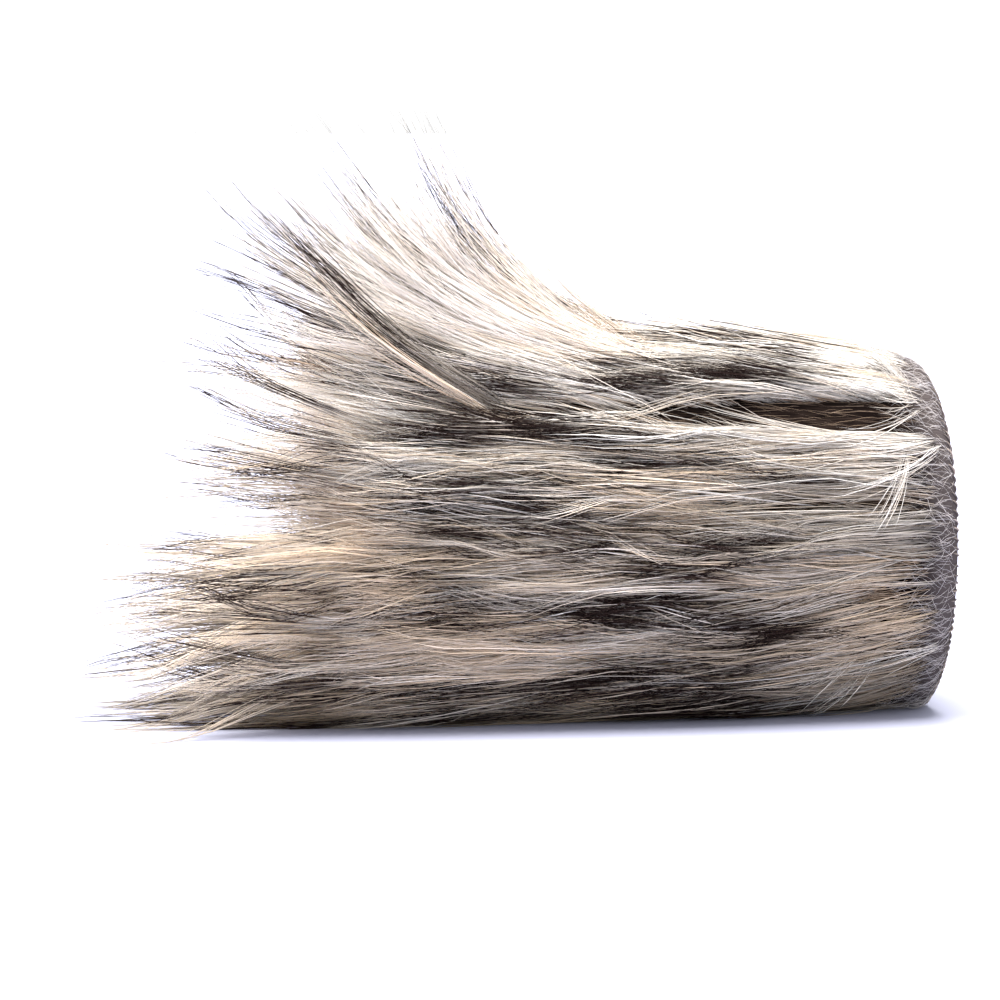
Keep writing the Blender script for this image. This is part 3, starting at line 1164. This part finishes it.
for name, node, front, rear, radius, slot in (
    ("lining_panel", "nose_lining", panel_front, panel_rear, backing_r, "lining_knit"),
    ("backing_panel", "nose_backing", face_front, face_rear, SKIN_R, "backing_knit"),
):
    line = np.stack([np.full(24, (front + rear) / 2), np.linspace(0.0, radius - TRIM, 24)], -1)
    cloth_piece(name, node, line, rear - front - 0.1, slot, "fur_cover")
fold = np.linspace(-math.pi / 2, math.pi / 2, 12)
fold_r = (tape_r - TAPE_WALL / 2 - (lining_r + TAPE_WALL / 2)) / 2
fold_middle = lining_r + TAPE_WALL / 2 + fold_r
fold_x = tape_rear - TAPE_WALL / 2 - 0.5 * fold_r
tape_line = np.concatenate([
    tube_line(tape_front, fold_x, fold_middle - fold_r, 10)[:-1],
    np.stack([fold_x + 0.5 * fold_r * np.cos(fold), fold_middle + fold_r * np.sin(fold)], -1),
    tube_line(fold_x, tape_front, fold_middle + fold_r, 10)[1:],
])
cloth_piece("hem_binding", "hem_tape", tape_line, TAPE_WALL - 0.08, "hem_tape", "fur_cover",
            columns=HEM_COLUMNS, ripple=hem_gather)
elastic_wall = elastic_r - lining_r - TAPE_WALL - 0.35
elastic_line = thick_line(tube_line(elastic_front + 0.2, elastic_rear - 0.4, fold_middle, 14), elastic_wall)
elastic_band = turned_piece(
    "hem_elastic_band", elastic_line, CLOTH["elastic"], "fur_cover", HEM_COLUMNS,
    lambda x, turn: 0.5 * hem_gather(x, turn),
)
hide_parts("hem_elastic")

# %% [markdown]
# ## Edge stitches
# The pile fabric's cut edge is overcast: a thread wraps round it every two millimetres, which gives
# the hem its fine knotted rim. Each stitch is a short arc on the edge's roll, leaning a little.

# %% Overcast the hem's edge
EDGE_THREAD = hair_material(
    "edge_thread", root=(0.10, 0.08, 0.075), cool=(0.34, 0.29, 0.27), warm=(0.42, 0.34, 0.28),
    tip=(0.12, 0.10, 0.09), tip_starts=0.9, roughness=0.6,
)
STITCH_PITCH = 2.1
STITCH_WIDTH = 0.62
stitch_count = int(2 * math.pi * (SKIN_R + 2) / STITCH_PITCH)
stitch_turn = np.linspace(0, 2 * math.pi, stitch_count, endpoint=False)
stitch_turn = stitch_turn + 0.006 * draw.normal(size=stitch_count)
share_along = np.linspace(0, 1, 9)[None, :]
roll = np.radians(-22 + 84 * share_along) + np.zeros((stitch_count, 1))
roll_r = BED_ROLL + 0.12 + 0.1 * draw.uniform(size=(stitch_count, 1))
roll_middle = SKIN_R + BED_HEM - BED_ROLL
stitch_x = HEM - BED_ROLL + roll_r * np.cos(roll)
leaning = stitch_turn[:, None] + 0.035 * share_along
stitches = rest_on_floor(around(stitch_x, leaning, roll_middle + roll_r * np.sin(roll)), 0.3)
stitch_rows = tone_rows(draw, *draw.uniform(size=(3, stitch_count)))
stitch_widths = np.full(stitch_count, STITCH_WIDTH)
triangles += strand_mesh("edge_stitches", stitches, stitch_widths, stitch_rows, EDGE_THREAD)
print("triangles of hair and stitches:", triangles)

# %% [markdown]
# ## Rubber, plastic and thread
# These CAD parts have the right shape and stay. Rubber is dull with a fine bloom, the plate is a
# moulding with a spark-eroded grain, and the sewing thread is twisted and slightly glossy. Rubber and
# plastic share one grain group at two scales.

# %% Grain group
def grain_group():
    """Fine and coarse noise on object coordinates, and their blend."""
    group = bpy.data.node_groups.new("moulded_grain", "ShaderNodeTree")
    group.interface.new_socket("Grain", in_out="INPUT", socket_type="NodeSocketFloat")
    for name in ("Fine", "Bloom"):
        group.interface.new_socket(name, in_out="OUTPUT", socket_type="NodeSocketFloat")
    given = group.nodes.new("NodeGroupInput").outputs
    place = object_place(group)
    fine = texture_node(group, "TexNoise", place, Detail=3.0)["Fac"]
    group.links.new(given["Grain"], fine.node.inputs["Scale"])
    bloom = texture_node(group, "TexNoise", place, Scale=90.0, Detail=6.0)["Fac"]
    out = group.nodes.new("NodeGroupOutput")
    group.links.new(fine, out.inputs["Fine"])
    group.links.new(bloom, out.inputs["Bloom"])
    return group


GRAIN = grain_group()


# %% Moulded materials
def moulded_material(name, dark, pale, grain, shiny, dull, depth):
    """A moulded surface. grain is the texture's scale, shiny and dull the ends of its roughness."""
    material, tree, shader = new_material(name)
    relief = tree.nodes.new("ShaderNodeGroup")
    relief.node_tree = GRAIN
    relief.inputs["Grain"].default_value = grain
    bloom = ramp_between(tree, relief.outputs["Bloom"], 0.35, 0.75)
    tree.links.new(mix_colours(tree, bloom, (*dark, 1.0), (*pale, 1.0)), shader.inputs["Base Color"])
    rough = math_node(tree, "MULTIPLY_ADD", bloom, dull - shiny, shiny)
    tree.links.new(rough, shader.inputs["Roughness"])
    add_bump(tree, shader, relief.outputs["Fine"], depth, 0.6)
    return material


def thread_material():
    """Twisted polyester thread: narrow bands of a wave on object coordinates."""
    material, tree, shader = new_material("sewing_thread", 0.45)
    shader.inputs["Sheen Weight"].default_value = 0.3
    twist = texture_node(tree, "TexWave", object_place(tree), Scale=900.0, Distortion=1.5)["Fac"]
    twist.node.bands_direction = "DIAGONAL"
    colour = mix_colours(tree, twist, (0.020, 0.016, 0.015, 1.0), (0.11, 0.09, 0.085, 1.0))
    tree.links.new(colour, shader.inputs["Base Color"])
    add_bump(tree, shader, twist, 0.0002)
    return material


MOULDED = {name: moulded_material(name, *finish) for name, *finish in (
    ("boot_rubber", (0.004, 0.004, 0.004), (0.012, 0.012, 0.012), 2600.0, 0.50, 0.78, 0.00012),
    ("plate_plastic", (0.004, 0.004, 0.0045), (0.008, 0.008, 0.009), 4200.0, 0.34, 0.52, 0.00010),
)}
THREAD = thread_material()

# %% Finish the CAD parts that stay
for node, material in (
    ("mic_boot", MOULDED["boot_rubber"]), ("base_plate", MOULDED["plate_plastic"]),
    ("boot_clamp_ring", MOULDED["plate_plastic"]), ("side_seam_thread", THREAD),
    ("nose_seam_thread", THREAD), ("lining_seam_thread", THREAD), ("hem_stitching", THREAD),
):
    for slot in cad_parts[node].material_slots:
        slot.material = material
print("finished the rubber, plastic and thread")
